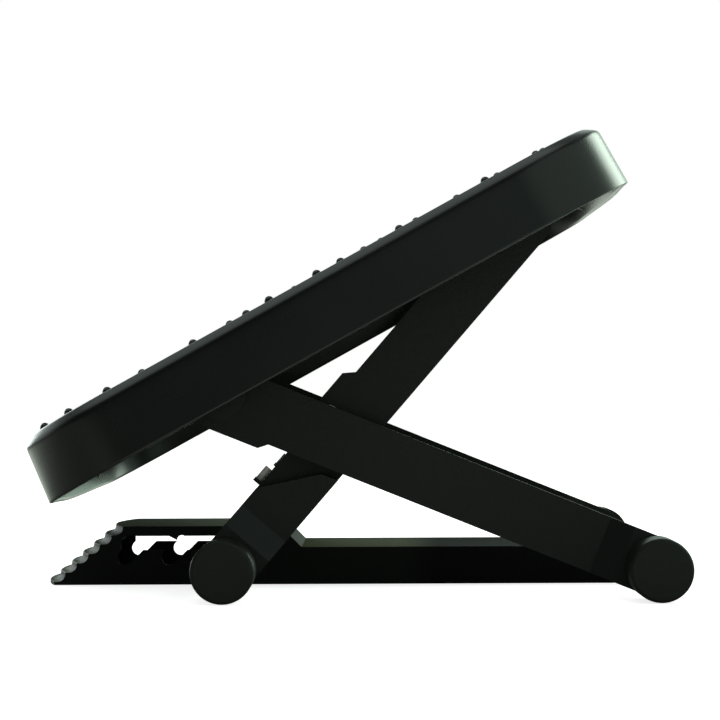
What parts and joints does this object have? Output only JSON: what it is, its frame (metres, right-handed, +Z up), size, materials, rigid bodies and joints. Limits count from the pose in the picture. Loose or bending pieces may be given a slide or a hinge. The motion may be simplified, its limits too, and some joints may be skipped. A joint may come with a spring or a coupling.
{
  "type": "footrest",
  "caption": "Folding under-desk footrest: a domed, tilted platform on scissor legs with rollers and a ratchet bar that lies on the floor.",
  "frame": {"origin": "on the floor, under the middle of the part's box", "axes": "+X to the rear (the high side), +Y across the width, +Z up"},
  "size_m": [0.351, 0.451, 0.2462],
  "materials": {
    "tray_plastic": "satin",
    "leg_plastic": "fine grain",
    "bar_plastic": "satin",
    "roller_plastic": "satin",
    "slider_plastic": "natural nylon",
    "bracket_plastic": "satin",
    "zinc_steel": "zinc plated",
    "screw_steel": "black oxide"
  },
  "bodies": {
    "base": {"ratchet_bar": "bar_plastic", "catch_rod": "zinc_steel", "rear_axle": "zinc_steel", "axle_clips": "zinc_steel"},
    "outer_frame": {"outer_leg_left": "leg_plastic", "outer_leg_right": "leg_plastic", "scissor_rod": "zinc_steel", "scissor_washers": "zinc_steel"},
    "inner_frame": {"inner_leg_left": "leg_plastic", "inner_leg_right": "leg_plastic", "ledge_pins": "zinc_steel", "front_axle_left": "zinc_steel", "front_axle_right": "zinc_steel", "slide_rod": "zinc_steel"},
    "platform": {"platform_tray": "tray_plastic", "massage_domes": "tray_plastic", "pivot_bracket_left": "bracket_plastic", "pivot_bracket_right": "bracket_plastic", "bracket_screws": "screw_steel", "slide_track_left": "bracket_plastic", "slide_track_right": "bracket_plastic", "track_screws": "screw_steel", "tray_pivot_rod": "zinc_steel"},
    "front_wheel_left": {"front_roller_left": "roller_plastic"},
    "front_wheel_right": {"front_roller_right": "roller_plastic"},
    "rear_wheel_left": {"rear_roller_left": "roller_plastic"},
    "rear_wheel_right": {"rear_roller_right": "roller_plastic"},
    "slide_wheel_left": {"slide_roller_left": "slider_plastic"},
    "slide_wheel_right": {"slide_roller_right": "slider_plastic"}
  },
  "joints": [
    {"name": "base_hinge", "type": "hinge", "parent": "base", "child": "outer_frame", "pos_m": [0.159, 0, 0.0165], "axis": [0, 1, 0], "range_deg": [-9.38, 0]},
    {"name": "scissor_fold", "type": "hinge", "parent": "outer_frame", "child": "inner_frame", "pos_m": [-0.01308, 0, 0.09301], "axis": [0, 1, 0], "range_deg": [0, 33.72]},
    {"name": "platform_hinge", "type": "hinge", "parent": "outer_frame", "child": "platform", "pos_m": [-0.06823, 0, 0.10784], "axis": [0, 1, 0], "range_deg": [0, 25.39]},
    {"name": "front_wheel_left_spin", "type": "hinge", "parent": "inner_frame", "child": "front_wheel_left", "pos_m": [-0.066, -0.2085, 0.0165], "axis": [0, 1, 0], "continuous": true},
    {"name": "front_wheel_right_spin", "type": "hinge", "parent": "inner_frame", "child": "front_wheel_right", "pos_m": [-0.066, 0.2085, 0.0165], "axis": [0, 1, 0], "continuous": true},
    {"name": "rear_wheel_left_spin", "type": "hinge", "parent": "base", "child": "rear_wheel_left", "pos_m": [0.159, -0.2085, 0.0165], "axis": [0, 1, 0], "continuous": true},
    {"name": "rear_wheel_right_spin", "type": "hinge", "parent": "base", "child": "rear_wheel_right", "pos_m": [0.159, 0.2085, 0.0165], "axis": [0, 1, 0], "continuous": true},
    {"name": "slide_wheel_left_spin", "type": "hinge", "parent": "inner_frame", "child": "slide_wheel_left", "pos_m": [0.09134, -0.178, 0.19878], "axis": [0, 1, 0], "continuous": true},
    {"name": "slide_wheel_right_spin", "type": "hinge", "parent": "inner_frame", "child": "slide_wheel_right", "pos_m": [0.09134, 0.178, 0.19878], "axis": [0, 1, 0], "continuous": true}
  ],
  "couplings": [
    {"joint": "base_hinge", "follows": "scissor_fold", "ratio": -0.2752},
    {"joint": "platform_hinge", "follows": "scissor_fold", "ratio": 0.7498}
  ]
}
